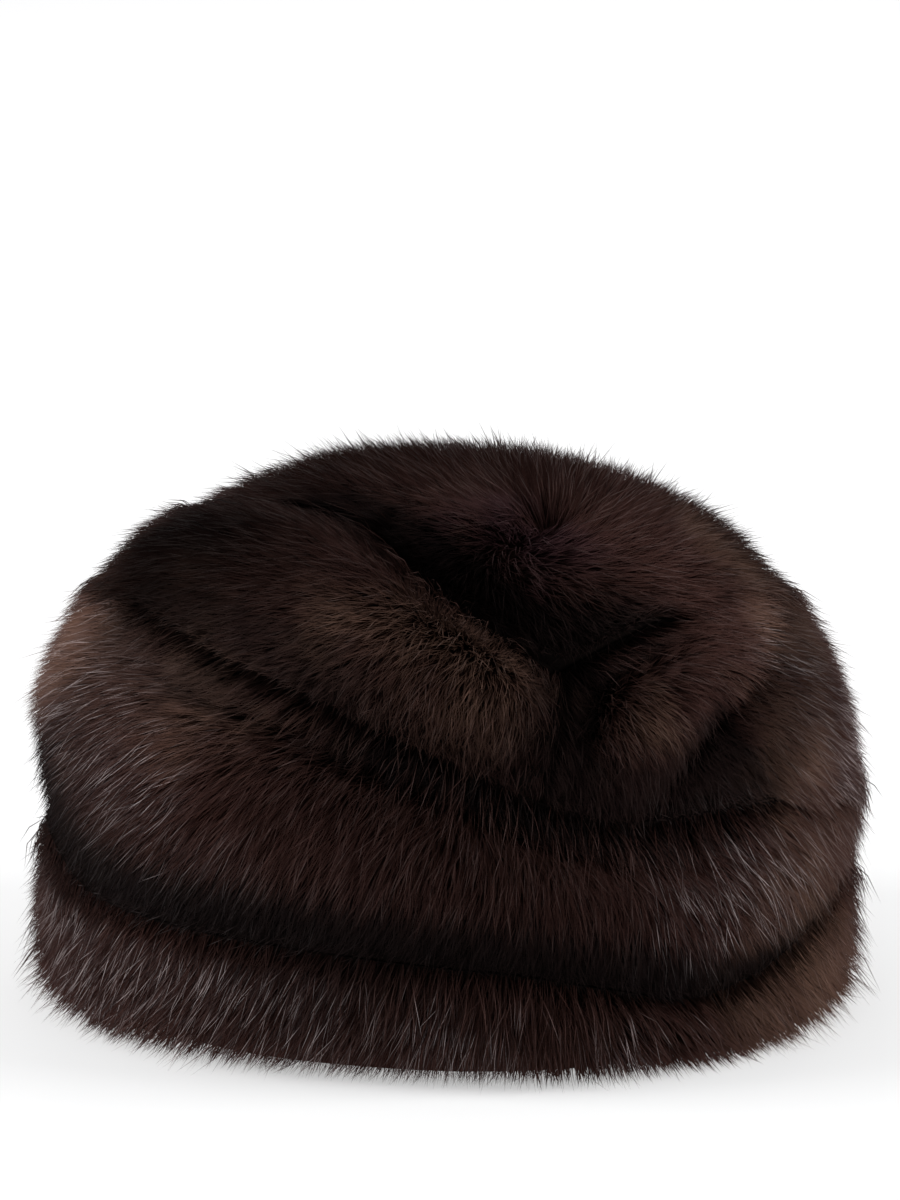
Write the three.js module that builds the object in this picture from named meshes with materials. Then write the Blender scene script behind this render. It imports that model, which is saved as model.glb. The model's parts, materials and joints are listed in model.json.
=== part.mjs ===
// A draped fur turban, standing on its brim. A hollow crown has a deep fur dome on top; a brim band and a
// wide wrap band of fur run round it, and two drapes and a short pleat gather at the front. The fur of each
// piece is worked as overlapping locks that are one body with its backing.
// Millimetres, +Z up, the front towards -Y, the origin on the ground under the middle of the hat.
// A place on the hat is an azimuth, in degrees from the front towards +X, and a latitude, in degrees from
// the ground at -90 through the shoulder, where the hat is widest, at 0 to the top at 90.

import * as THREE from "three";

// The three nested forms. footShare is the width at the ground as a share of the width at the shoulder,
// and roundness is 2 for an ellipse and more for a squarer dome.
const FUR_FORM = {
  halfWidth: 134,
  halfDepth: 131,
  shoulder: 66.5,
  rise: 101.5,
  footShare: 0.93,
  roundness: 2.12,
};
const CAVITY = { halfWidth: 86, halfDepth: 95, shoulder: 50, rise: 72, footShare: 1, roundness: 2.3 };
const WALL = 3;
const CLEARANCE = 1;
const CROWN_WALL = grown(CAVITY, WALL);
const BED = grown(CAVITY, WALL + CLEARANCE);

// Creases between the folds. latitude is where the crease runs, depth is how far it sinks into the fur,
// and proud is how far the fold below it stands out from the fur form.
const BRIM_TOP = [
  { azimuth: -180, latitude: -13, depth: 8, proud: 0 },
  { azimuth: -135, latitude: -9, depth: 10, proud: -1 },
  { azimuth: -108, latitude: -6, depth: 14, proud: -3 },
  { azimuth: -80, latitude: -7, depth: 14, proud: -3 },
  { azimuth: -55, latitude: -15.5, depth: 11, proud: -3 },
  { azimuth: -20, latitude: -18.2, depth: 13, proud: -4 },
  { azimuth: 9, latitude: -23.9, depth: 15, proud: 1 },
  { azimuth: 28, latitude: -33.7, depth: 15, proud: 5 },
  { azimuth: 41, latitude: -41.5, depth: 14, proud: 6 },
  { azimuth: 52, latitude: -38.5, depth: 12, proud: 6 },
  { azimuth: 69, latitude: -28, depth: 9, proud: 3 },
  { azimuth: 88, latitude: -18, depth: 7, proud: 1 },
  { azimuth: 130, latitude: -14, depth: 7, proud: 0 },
];
const WRAP_TOP = [
  { azimuth: -180, latitude: 22, depth: 8, proud: 0 },
  { azimuth: -140, latitude: 30, depth: 7, proud: -2 },
  { azimuth: -98, latitude: 38, depth: 4, proud: -3 },
  { azimuth: -66, latitude: 42, depth: 12, proud: -2 },
  { azimuth: -31, latitude: 37.5, depth: 17, proud: 0 },
  { azimuth: -11, latitude: 30, depth: 18, proud: 0 },
  { azimuth: 1, latitude: 24.5, depth: 18, proud: 0 },
  { azimuth: 14, latitude: 16.5, depth: 18, proud: 0 },
  { azimuth: 30, latitude: 10, depth: 18, proud: 0 },
  { azimuth: 49, latitude: 8.5, depth: 14, proud: 1 },
  { azimuth: 62, latitude: 6, depth: 8, proud: 1 },
  { azimuth: 80, latitude: 3, depth: 4, proud: 1 },
  { azimuth: 105, latitude: 4, depth: 5, proud: 1 },
  { azimuth: 140, latitude: 12, depth: 7, proud: 0 },
];
const CROWN_EDGE = [
  { azimuth: -180, latitude: 37, depth: 6, proud: 0 },
  { azimuth: -140, latitude: 44, depth: 5, proud: 0 },
  { azimuth: -107, latitude: 55, depth: 4, proud: 0 },
  { azimuth: -86, latitude: 64, depth: 5, proud: 0 },
  { azimuth: -65, latitude: 72, depth: 11, proud: 0 },
  { azimuth: -40, latitude: 76, depth: 15, proud: 0 },
  { azimuth: -16, latitude: 70.5, depth: 17, proud: 0 },
  { azimuth: -3, latitude: 62.5, depth: 18, proud: 0 },
  { azimuth: 8, latitude: 53.5, depth: 18, proud: 0 },
  { azimuth: 25, latitude: 41, depth: 17, proud: 0 },
  { azimuth: 38, latitude: 43.5, depth: 15, proud: 0 },
  { azimuth: 50, latitude: 44.5, depth: 11, proud: 0 },
  { azimuth: 65, latitude: 43, depth: 6, proud: 0 },
  { azimuth: 84, latitude: 38, depth: 4, proud: 0 },
  { azimuth: 110, latitude: 34, depth: 4, proud: 0 },
  { azimuth: 150, latitude: 34, depth: 6, proud: 0 },
];

// The short creases across the upper tier, from the wrap band, at rise 0, to the crown, at rise 1.
const GATHER_CREASE = [
  { rise: 0, azimuth: 16, depth: 16 },
  { rise: 0.3, azimuth: 17.5, depth: 15 },
  { rise: 0.5, azimuth: 20, depth: 15 },
  { rise: 0.75, azimuth: 24, depth: 16 },
  { rise: 1, azimuth: 25, depth: 16 },
];
const PLEAT_CREASE = [
  { rise: 0, azimuth: 32.5, depth: 15 },
  { rise: 0.2, azimuth: 37, depth: 14 },
  { rise: 0.45, azimuth: 48, depth: 12 },
  { rise: 0.6, azimuth: 56, depth: 10 },
  { rise: 0.8, azimuth: 66, depth: 7 },
  { rise: 1, azimuth: 74, depth: 4 },
];
const BACK_SEAM = [
  { rise: 0, azimuth: 176, depth: 6 },
  { rise: 1, azimuth: 188, depth: 5 },
];

// The whorl on the dome that the crown's fur lies away from, as shares of the fur form's half sizes.
const WHORL = { across: 0.26, forward: 0.33 };

// How wide the sides of a crease are against its depth: steep under a fold's lower edge, and gentle over
// its upper edge.
const SPREAD = { lowerEdge: 0.85, upperEdge: 1.25, end: 0.95 };
const LEAST_SPREAD = 4;
const FOOT_ROUNDING = 6;
const HALF_GAP = 0.35;
const CROWN_GAP = 0.6;
const THINNEST = 5;

// One lock: how high its tip stands, and how far it reaches past its own row.
const LOCK = { height: 5, reach: 0.38, unevenness: 0.35, sway: 0.22 };
const SUNK_BETWEEN_LOCKS = 3;
const SUNK_AT_EDGES = 1.5;
const RING_COLUMNS = 96;
const CROWN_COLUMNS = 72;
const RIM_LATITUDE = -74;

const FURS = {
  brim: { color: 0x2b1f1b, roughness: 0.62 },
  wrap: { color: 0x33251f, roughness: 0.62 },
  drape: { color: 0x2c1e17, roughness: 0.66 },
  pleat: { color: 0x281b15, roughness: 0.66 },
  crown: { color: 0x241917, roughness: 0.64 },
};

function grown(form, by) {
  return {
    ...form,
    halfWidth: form.halfWidth + by,
    halfDepth: form.halfDepth + by,
    rise: form.rise + by,
  };
}

// Width at a latitude, as a share of the form's width at its shoulder.
function widthShare(form, latitude) {
  const slope = THREE.MathUtils.degToRad(latitude);
  if (latitude >= 0) return Math.max(Math.cos(slope), 0) ** (2 / form.roundness);
  return 1 - (1 - form.footShare) * Math.abs(Math.sin(slope)) ** 3;
}

function onForm(form, azimuth, latitude) {
  const turn = THREE.MathUtils.degToRad(azimuth);
  const climb = Math.sin(THREE.MathUtils.degToRad(latitude));
  const share = widthShare(form, latitude);
  const height =
    latitude >= 0 ? form.shoulder + form.rise * climb ** (2 / form.roundness) : form.shoulder * (1 + climb);
  return new THREE.Vector3(
    form.halfWidth * share * Math.sin(turn),
    -form.halfDepth * share * Math.cos(turn),
    height,
  );
}

// A point sunk below the fur form, along the line towards the crown's wall.
function inFur(azimuth, latitude, sunk, bed = BED) {
  const outer = onForm(FUR_FORM, azimuth, latitude);
  const inner = onForm(bed, azimuth, latitude);
  const deep = outer.distanceTo(inner);
  return outer.lerp(inner, Math.min(sunk, deep - THINNEST) / deep);
}

// A smooth curve through the rows of a table that never overshoots them, closed where a period is given.
function curve(rows, along, column, period = 0) {
  const knots = rows.map((row) => [row[along], row[column]]);
  if (period) {
    const before = knots.slice(-2).map(([at, is]) => [at - period, is]);
    const after = knots.slice(0, 2).map(([at, is]) => [at + period, is]);
    knots.unshift(...before);
    knots.push(...after);
  }
  const last = knots.length - 1;
  const rates = knots.slice(1).map(([at, is], i) => (is - knots[i][1]) / (at - knots[i][0]));
  const slopes = knots.map((knot, i) => {
    const before = rates[Math.max(i - 1, 0)];
    const after = rates[Math.min(i, last - 1)];
    return before * after > 0 ? (2 * before * after) / (before + after) : 0;
  });
  return (where) => {
    let at = where;
    if (period) at = THREE.MathUtils.euclideanModulo(where - rows[0][along], period) + rows[0][along];
    at = THREE.MathUtils.clamp(at, knots[0][0], knots[last][0]);
    const i = Math.min(knots.findLastIndex(([start]) => start <= at), last - 1);
    const span = knots[i + 1][0] - knots[i][0];
    const t = (at - knots[i][0]) / span;
    return (
      (2 * t ** 3 - 3 * t ** 2 + 1) * knots[i][1] +
      (t ** 3 - 2 * t ** 2 + t) * span * slopes[i] +
      (3 * t ** 2 - 2 * t ** 3) * knots[i + 1][1] +
      (t ** 3 - t ** 2) * span * slopes[i + 1]
    );
  };
}

const ringCrease = (rows) => ({
  latitude: curve(rows, "azimuth", "latitude", 360),
  depth: curve(rows, "azimuth", "depth", 360),
  proud: curve(rows, "azimuth", "proud", 360),
});
const crossCrease = (rows) => ({
  azimuth: curve(rows, "rise", "azimuth"),
  depth: curve(rows, "rise", "depth"),
});
const brimTop = ringCrease(BRIM_TOP);
const wrapTop = ringCrease(WRAP_TOP);
const crownEdge = ringCrease(CROWN_EDGE);
const gatherCrease = crossCrease(GATHER_CREASE);
const pleatCrease = crossCrease(PLEAT_CREASE);
const backSeam = crossCrease(BACK_SEAM);
const ground = {
  latitude: () => -90,
  depth: () => FOOT_ROUNDING,
};

// How far fur is sunk at a distance from a crease: all the depth in the crease, and a rounded rise to none.
function groove(distance, depth, spread) {
  const near = Math.max(1 - distance / (LEAST_SPREAD + spread * depth), 0);
  return depth * (1 - Math.sqrt(1 - Math.min(near, 1) ** 2));
}

const together = (...grooves) => Math.cbrt(grooves.reduce((sum, sunk) => sum + sunk ** 3, 0));

// A steady number from 0 to 1 for each lock.
function uneven(column, row, salt) {
  const mixed = Math.sin(column * 127.1 + row * 311.7 + salt * 74.7) * 43758.5453;
  return mixed - Math.floor(mixed);
}

// Where one vertex of a fur surface lies between two locks' rows: along is its place down the fold,
// raised how far it stands up, and aside how far it sways to a side, in columns.
function lockVertex(column, step, lockRows, salt) {
  const row = Math.floor(step / 2);
  const tip = step % 2 === 1;
  const ridge = (column + row) % 2 === 0;
  const size = 1 + LOCK.unevenness * (2 * uneven(column, row, salt) - 1);
  const own = tip ? (ridge ? 0.78 + LOCK.reach * size : 0.62) : 0.1;
  return {
    along: Math.min((row + own) / (lockRows + 0.3), 0.985),
    raised: tip && ridge ? LOCK.height * size : 0,
    aside: tip && ridge ? LOCK.sway * (2 * uneven(column, row, salt + 5) - 1) : 0,
  };
}

// The same place where a fold ends: flat, so that its end is a plain face.
function plainVertex(step, lockRows) {
  const row = Math.floor(step / 2);
  return { along: (row + (step % 2 ? 0.62 : 0.1)) / (lockRows + 0.3), raised: 0, aside: 0 };
}

// Two triangles between two rows, split so that each lock's tip is the sharp end of a narrow tongue.
function lockQuad(a, b, c, d, splitFromA) {
  return splitFromA ? [a, b, c, a, c, d] : [a, b, d, b, c, d];
}

function solid(points, faces, name, fur) {
  const positions = points.flatMap((point) => point.toArray());
  const geometry = new THREE.BufferGeometry();
  geometry.setAttribute("position", new THREE.Float32BufferAttribute(positions, 3));
  const [a, b, c] = [new THREE.Vector3(), new THREE.Vector3(), new THREE.Vector3()];
  let volume = 0;
  for (let i = 0; i < faces.length; i += 3) {
    a.copy(points[faces[i]]);
    b.copy(points[faces[i + 1]]);
    c.copy(points[faces[i + 2]]);
    volume += a.dot(b.cross(c));
  }
  geometry.setIndex(volume > 0 ? faces : faces.toReversed());
  geometry.computeVertexNormals();
  const mesh = new THREE.Mesh(geometry, new THREE.MeshStandardMaterial({ ...fur, metalness: 0 }));
  mesh.name = name;
  return mesh;
}

// A fold of fur between a lower and an upper crease. Each column is a closed section: down the locked
// outer face from the upper crease to the lower one, and back up the inner face against the crown's wall.
function fold({ name, fur, lower, upper, start, end, columns, lockRows, innerRows, salt }) {
  const ring = !start;
  const outerSteps = 2 * lockRows;
  const sectionSize = outerSteps + 2 + innerRows;
  const columnCount = ring ? columns : columns + 1;
  const points = [];
  const flat = [];

  const azimuthAt = (across, rise) => {
    if (ring) return across * 360 - 180;
    const [from, to] = [start.crease.azimuth(rise) + start.shift, end.crease.azimuth(rise) + end.shift];
    const clear = THREE.MathUtils.radToDeg(HALF_GAP / (FUR_FORM.halfWidth * widthShare(FUR_FORM, 45)));
    const inward = Math.sign(to - from) * clear;
    return THREE.MathUtils.lerp(from + inward, to - inward, across);
  };

  const place = (across, along) => {
    const azimuth = azimuthAt(across, 1 - along);
    const [top, bottom] = [upper.latitude(azimuth), lower.latitude(azimuth)];
    const upperEdge = onForm(FUR_FORM, azimuth, top);
    const lowerEdge = onForm(FUR_FORM, azimuth, bottom);
    const perMm = (top - bottom) / upperEdge.distanceTo(lowerEdge);
    const highest = top - HALF_GAP * perMm;
    const lowest = bottom + (lower === ground ? 0 : HALF_GAP * perMm);
    const latitude = THREE.MathUtils.lerp(highest, lowest, along);
    const here = onForm(FUR_FORM, azimuth, latitude);
    const grooves = [
      groove(here.distanceTo(upperEdge), upper.depth(azimuth), SPREAD.upperEdge),
      groove(here.distanceTo(lowerEdge), lower.depth(azimuth), SPREAD.lowerEdge),
    ];
    for (const side of ring ? [] : [start, end]) {
      const sideAzimuth = side.crease.azimuth(1 - along) + side.shift;
      const away = here.distanceTo(onForm(FUR_FORM, sideAzimuth, latitude));
      grooves.push(groove(away, side.crease.depth(1 - along), SPREAD.end));
    }
    const swell = Math.sin(Math.PI * along * (lower === ground ? 0.6 : 1)) * upper.proud(azimuth);
    return { azimuth, latitude, sunk: together(...grooves) - swell };
  };

  for (let column = 0; column < columnCount; column++) {
    const isEnd = !ring && (column === 0 || column === columns);
    const across = column / columns;
    for (let step = -1; step <= outerSteps; step++) {
      const edge = step < 0 || step === outerSteps;
      let lock = isEnd ? plainVertex(step, lockRows) : lockVertex(column, step, lockRows, salt);
      if (edge) lock = { along: step < 0 ? 0 : 1, raised: 0, aside: 0 };
      const { azimuth, latitude, sunk } = place(across + lock.aside / columns, lock.along);
      const raised = lock.raised * Math.sin(Math.PI * lock.along) ** 0.4;
      const bare = edge || isEnd ? SUNK_AT_EDGES : SUNK_BETWEEN_LOCKS;
      const point = inFur(azimuth, latitude, sunk + bare - raised);
      points.push(point);
      flat.push(new THREE.Vector2(latitude, point.distanceTo(onForm(BED, azimuth, latitude))));
    }
    for (let row = 0; row < innerRows; row++) {
      const { azimuth, latitude } = place(across, 1 - row / (innerRows - 1));
      points.push(onForm(BED, azimuth, latitude));
      flat.push(new THREE.Vector2(latitude, 0));
    }
  }

  const faces = [];
  const at = (column, step) => (column % columnCount) * sectionSize + (step % sectionSize);
  for (let column = 0; column < columns; column++) {
    for (let step = 0; step < sectionSize; step++) {
      const lockStep = step - 1;
      const ridge = (column + Math.floor(lockStep / 2)) % 2 === 0;
      faces.push(
        ...lockQuad(
          at(column, step),
          at(column + 1, step),
          at(column + 1, step + 1),
          at(column, step + 1),
          lockStep < 0 || lockStep >= outerSteps || !ridge,
        ),
      );
    }
  }
  for (const column of ring ? [] : [0, columns]) {
    const outline = flat.slice(column * sectionSize, (column + 1) * sectionSize);
    const way = Math.sign(THREE.ShapeUtils.area(outline)) * (column ? -1 : 1);
    for (const corners of THREE.ShapeUtils.triangulateShape(outline, [])) {
      const turned = THREE.ShapeUtils.area(corners.map((step) => outline[step])) * way < 0;
      const face = corners.map((step) => at(column, step));
      faces.push(...(turned ? face.reverse() : face));
    }
  }
  return solid(points, faces, name, fur);
}

// The crown: a hollow cap whose wall is bare where the folds cover it and carries the deep fur dome above
// them. Each column runs from the whorl down the dome, into its edge crease, down the wall, round the rim
// and up the inside.
function crown({ name, fur, columns, lockRows, salt }) {
  const points = [];
  const wallLatitudes = [RIM_LATITUDE, -30, 0];
  const wallShares = [0.35, 0.7];
  const cavityLatitudes = [RIM_LATITUDE, 0, 20, 38, 56, 74];
  const outerSteps = 2 * lockRows - 1;
  const sectionSize = outerSteps + 2 + wallShares.length + wallLatitudes.length + cavityLatitudes.length;

  const towardsWhorl = (azimuth, along) => {
    const turn = THREE.MathUtils.degToRad(azimuth);
    const top = onForm(FUR_FORM, azimuth, crownEdge.latitude(azimuth));
    const edgeLatitude = crownEdge.latitude(azimuth) + CROWN_GAP;
    const share = widthShare(FUR_FORM, edgeLatitude);
    const across = THREE.MathUtils.lerp(WHORL.across, share * Math.sin(turn), along);
    const forward = THREE.MathUtils.lerp(WHORL.forward, share * Math.cos(turn), along);
    const here = Math.min(Math.hypot(across, forward), 1);
    const latitude = THREE.MathUtils.radToDeg(Math.acos(here ** (FUR_FORM.roundness / 2)));
    const nearAzimuth = THREE.MathUtils.radToDeg(Math.atan2(across, forward));
    const away = onForm(FUR_FORM, nearAzimuth, latitude).distanceTo(top);
    const sunk = groove(away, crownEdge.depth(azimuth), SPREAD.upperEdge);
    return { azimuth: nearAzimuth, latitude, sunk };
  };

  for (let column = 0; column < columns; column++) {
    const azimuth = (column / columns) * 360 - 180;
    for (let step = 1; step < 2 * lockRows; step++) {
      const lock = lockVertex(column, step, lockRows, salt);
      const along = lock.along * (1.3 - 0.3 * lock.along);
      const away = towardsWhorl(azimuth + (lock.aside * 360) / columns, Math.min(along, 0.97));
      const raised = lock.raised * Math.sin(Math.PI * Math.min(along, 0.97)) ** 0.4;
      points.push(inFur(away.azimuth, away.latitude, away.sunk + SUNK_BETWEEN_LOCKS - raised, CROWN_WALL));
    }
    const edge = towardsWhorl(azimuth, 1);
    points.push(inFur(edge.azimuth, edge.latitude, edge.sunk + SUNK_AT_EDGES, CROWN_WALL));
    points.push(onForm(CROWN_WALL, edge.azimuth, edge.latitude));
    for (const share of wallShares.toReversed()) {
      points.push(onForm(CROWN_WALL, azimuth, share * edge.latitude));
    }
    for (const latitude of wallLatitudes.toReversed()) points.push(onForm(CROWN_WALL, azimuth, latitude));
    for (const latitude of cavityLatitudes) points.push(onForm(CAVITY, azimuth, latitude));
  }

  const whorl = towardsWhorl(0, 0);
  const top = points.push(inFur(whorl.azimuth, whorl.latitude, SUNK_BETWEEN_LOCKS, CROWN_WALL)) - 1;
  const roof = points.push(onForm(CAVITY, 0, 90)) - 1;
  const faces = [];
  const at = (column, step) => (column % columns) * sectionSize + step;
  for (let column = 0; column < columns; column++) {
    faces.push(top, at(column + 1, 0), at(column, 0));
    for (let step = 0; step < sectionSize - 1; step++) {
      const lockStep = step + 1;
      const ridge = (column + Math.floor(lockStep / 2)) % 2 === 0;
      faces.push(
        ...lockQuad(
          at(column, step),
          at(column + 1, step),
          at(column + 1, step + 1),
          at(column, step + 1),
          lockStep >= outerSteps || !ridge,
        ),
      );
    }
    faces.push(at(column, sectionSize - 1), at(column + 1, sectionSize - 1), roof);
  }
  return solid(points, faces, name, fur);
}

const hat = new THREE.Group();
hat.name = "fur_turban";

hat.add(crown({ name: "crown", fur: FURS.crown, columns: CROWN_COLUMNS, lockRows: 6, salt: 1 }));

hat.add(
  fold({
    name: "brim_band",
    fur: FURS.brim,
    lower: ground,
    upper: brimTop,
    columns: RING_COLUMNS,
    lockRows: 3,
    innerRows: 3,
    salt: 2,
  }),
);

hat.add(
  fold({
    name: "wrap_band",
    fur: FURS.wrap,
    lower: brimTop,
    upper: wrapTop,
    columns: RING_COLUMNS,
    lockRows: 4,
    innerRows: 6,
    salt: 3,
  }),
);

hat.add(
  fold({
    name: "left_drape",
    fur: FURS.drape,
    lower: wrapTop,
    upper: crownEdge,
    start: { crease: gatherCrease, shift: 0 },
    end: { crease: backSeam, shift: -360 },
    columns: 52,
    lockRows: 4,
    innerRows: 5,
    salt: 4,
  }),
);

hat.add(
  fold({
    name: "centre_pleat",
    fur: FURS.pleat,
    lower: wrapTop,
    upper: crownEdge,
    start: { crease: gatherCrease, shift: 0 },
    end: { crease: pleatCrease, shift: 0 },
    columns: 12,
    lockRows: 4,
    innerRows: 5,
    salt: 5,
  }),
);

hat.add(
  fold({
    name: "right_drape",
    fur: FURS.drape,
    lower: wrapTop,
    upper: crownEdge,
    start: { crease: pleatCrease, shift: 0 },
    end: { crease: backSeam, shift: 0 },
    columns: 36,
    lockRows: 4,
    innerRows: 5,
    salt: 6,
  }),
);

// The origin goes under the middle of the finished hat.
const extent = new THREE.Box3().setFromObject(hat);
const middle = extent.getCenter(new THREE.Vector3());
for (const piece of hat.children) piece.geometry.translate(-middle.x, -middle.y, -extent.min.z);

export default hat;
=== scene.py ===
# %% [markdown]
# # A fur turban
# The hat is a soft turban of long dark fur, standing on its brim. A brim band runs round the foot, a wide
# wrap band crosses over it, and two drapes and a short pleat gather right of the middle of the front,
# under a low crown. What the eye reads is the hair: dense woolly underfur, and longer, glossier guard
# hairs that lie away from a whorl near the top. So this lesson makes the hide of each piece first, then
# plants the hairs, and gives each its own finish.
#
# Every length is in metres, +Z is up, and the front of the hat faces -Y.

import json
import math

import bpy
import numpy as np
from mathutils.bvhtree import BVHTree
from mathutils.kdtree import KDTree
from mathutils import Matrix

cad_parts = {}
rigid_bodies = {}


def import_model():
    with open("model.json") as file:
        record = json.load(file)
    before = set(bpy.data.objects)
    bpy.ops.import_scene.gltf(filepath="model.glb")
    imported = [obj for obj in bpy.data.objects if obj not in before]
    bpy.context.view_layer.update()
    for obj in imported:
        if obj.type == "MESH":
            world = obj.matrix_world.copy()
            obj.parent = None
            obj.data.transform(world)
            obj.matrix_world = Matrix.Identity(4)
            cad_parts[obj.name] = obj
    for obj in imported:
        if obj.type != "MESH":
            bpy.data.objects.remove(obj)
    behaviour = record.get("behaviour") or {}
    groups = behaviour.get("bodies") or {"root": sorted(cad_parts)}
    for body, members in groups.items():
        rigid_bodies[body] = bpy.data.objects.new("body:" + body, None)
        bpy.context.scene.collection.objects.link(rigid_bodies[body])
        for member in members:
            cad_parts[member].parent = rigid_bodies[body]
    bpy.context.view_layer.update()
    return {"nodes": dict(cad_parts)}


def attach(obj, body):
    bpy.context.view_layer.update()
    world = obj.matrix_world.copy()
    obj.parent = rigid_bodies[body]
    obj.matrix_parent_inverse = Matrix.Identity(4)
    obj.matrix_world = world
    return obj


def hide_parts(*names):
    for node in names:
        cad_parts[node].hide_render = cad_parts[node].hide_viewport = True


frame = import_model()
print("solids:", sorted(frame["nodes"]))

# %% [markdown]
# The hat was drawn on nested domes, and the numbers of two of them serve here. The fur dome is where the
# tips of the fur lie, and the cap dome is the outside of the cap that carries the folds. One function tells
# how far a point stands outside a dome, in metres, and is negative inside it.

# %% The fur dome and the cap dome
MIDDLE = np.array([-0.0024, -0.0003, 0.0])
FUR_DOME = dict(half=(0.134, 0.131), shoulder=0.0665, rise=0.1015, roundness=2.12, tucked=0.07)
CAP_DOME = dict(half=(0.090, 0.099), shoulder=0.050, rise=0.076, roundness=2.3, tucked=0.0)
WHORL = np.array([0.030, -0.043, 0.156])


def unit(rows):
    """The same ways, each one unit long."""
    return rows / np.maximum(np.linalg.norm(rows, axis=1), 1e-9)[:, None]


def height_over(dome, points):
    """How far each point stands outside a dome, in metres, near enough for choosing points by it."""
    local = points - MIDDLE
    below = np.clip(1 - local[:, 2] / dome["shoulder"], 0, 1)
    across = np.hypot(local[:, 0] / dome["half"][0], local[:, 1] / dome["half"][1])
    across = across / (1 - dome["tucked"] * below**3)
    up = np.clip((local[:, 2] - dome["shoulder"]) / dome["rise"], 0, None)
    n = dome["roundness"]
    return ((across**n + up**n) ** (1 / n) - 1) * dome["half"][0]


def straight_out(dome, points):
    """The outward way of a dome at each point, from how its height changes over a tenth of a millimetre."""
    step = 1e-4
    here = height_over(dome, points)
    slope = np.stack([height_over(dome, points + step * way) - here for way in np.eye(3)], axis=1)
    return unit(slope)


DROOP = np.array([0, 0, -0.12])


def fall_of(points):
    """The way the fur falls over the fur dome: away from the whorl, and down."""
    out = straight_out(FUR_DOME, points)
    away = unit(points - WHORL) + DROOP
    return unit(away - (away * out).sum(axis=1)[:, None] * out)


def level_out(points):
    """The outward way of the fur dome at each point, kept level."""
    return unit(straight_out(FUR_DOME, points) * [1, 1, 0])


def ramp(values, start, end):
    """0 up to the start, 1 from the end on, and a straight rise between."""
    return np.clip((values - start) / (end - start), 0, 1)


def soften(share):
    """The same share with a slow start and a slow end."""
    return share * share * (3 - 2 * share)


print("the whorl is", round(float(height_over(FUR_DOME, WHORL[None])[0]) * 1000, 1), "mm over the fur dome")

# %% [markdown]
# The camera comes early, so that every stage can be looked at from the right place. The picture was taken
# from the front and a little above, with a long lens, and the hat fills the lower two thirds of it.

# %% Camera
AWAY = 2.6
TILT = math.radians(14.0)
AIM_ABOVE = math.radians(1.1)
AIM_SIDE = 0.0012
AIM_HEIGHT = 0.072

bpy.ops.object.camera_add(
    location=(AIM_SIDE, -AWAY * math.cos(TILT), AIM_HEIGHT + AWAY * math.sin(TILT)),
    rotation=(math.pi / 2 - TILT + AIM_ABOVE, 0, 0),
)
camera = bpy.context.object
camera.name = "camera"
camera.data.sensor_width = 36
camera.data.sensor_fit = "AUTO"
camera.data.lens = 250
camera.data.clip_end = 50
bpy.context.scene.camera = camera
print("camera", [round(v, 3) for v in camera.location])

# %% [markdown]
# ## Small helpers
# Operators act on whatever is selected, so each piece is selected alone before it is worked on.

# %% Select one piece


def only(piece):
    """Selects one piece alone, in object mode, and makes it active."""
    if bpy.context.mode != "OBJECT":
        bpy.ops.object.mode_set(mode="OBJECT")
    bpy.ops.object.select_all(action="DESELECT")
    piece.select_set(True)
    bpy.context.view_layer.objects.active = piece


def rows_of(mesh, what):
    """Rows of x, y and z for the mesh's points: their places with co, their outward ways with normal."""
    flat = np.zeros(len(mesh.vertices) * 3, np.float32)
    mesh.vertices.foreach_get(what, flat)
    return flat.reshape(-1, 3).astype(float)


def keep_numbers(mesh, name, numbers):
    """Gives every point of a mesh a number of its own, under a name that a finish can read."""
    kept = mesh.attributes.new(name, "FLOAT", "POINT")
    kept.data.foreach_set("value", numbers.astype(np.float32))


# %% [markdown]
# ## Dyes and sheens
# A finish is a little sum over the surface: a root colour and a tip colour, shares of noise, a patch here
# and there. Written as nodes such sums get long, so a small class wraps a socket and lets the sums be
# written as sums.

# %% A class for the sums


class Dye:
    """A socket of a finish. Arithmetic on dyes adds the Math nodes that work it out."""

    def __init__(self, tree, socket=None):
        self.tree = tree
        self.socket = socket

    def node(self, kind, settings=None, sockets=None, out=0):
        """Adds a node: its settings first, then the values or links of its sockets."""
        made = self.tree.nodes.new(kind)
        for name, value in (settings or {}).items():
            setattr(made, name, value)
        for name, value in (sockets or {}).items():
            if isinstance(value, Dye):
                self.tree.links.new(value.socket, made.inputs[name])
            else:
                made.inputs[name].default_value = value
        return Dye(self.tree, made.outputs[out])

    def math(self, operation, other):
        return self.node("ShaderNodeMath", {"operation": operation}, {0: self, 1: other})

    def __add__(self, other):
        return self.math("ADD", other)

    def __mul__(self, other):
        return self.math("MULTIPLY", other)

    def __rsub__(self, other):
        minus = self.math("MULTIPLY", -1.0)
        return minus.math("ADD", other)

    def __sub__(self, other):
        return self.math("SUBTRACT", other)

    __radd__ = __add__
    __rmul__ = __mul__

    def step(self, low, high):
        """0 below low, 1 above high, and a smooth rise between."""
        settings = {"interpolation_type": "SMOOTHSTEP"}
        return self.node("ShaderNodeMapRange", settings, {"Value": self, "From Min": low, "From Max": high})

    def blend(self, under, over):
        """Mixes two colours by this share."""
        settings = {"data_type": "RGBA"}
        return self.node("ShaderNodeMix", settings, {0: self, 6: under, 7: over}, out=2)


def finish_named(name):
    """An empty finish: the material, its shader and a dye to start sums from."""
    material = bpy.data.materials.new(name)
    material.use_nodes = True
    tree = material.node_tree
    shader = next(n for n in tree.nodes if n.type == "BSDF_PRINCIPLED")
    return material, shader, Dye(tree)


def feed(dye, shader, socket):
    """Links a dye to a socket of a shader."""
    dye.tree.links.new(dye.socket, shader.inputs[socket])


print("helpers ready")

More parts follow.
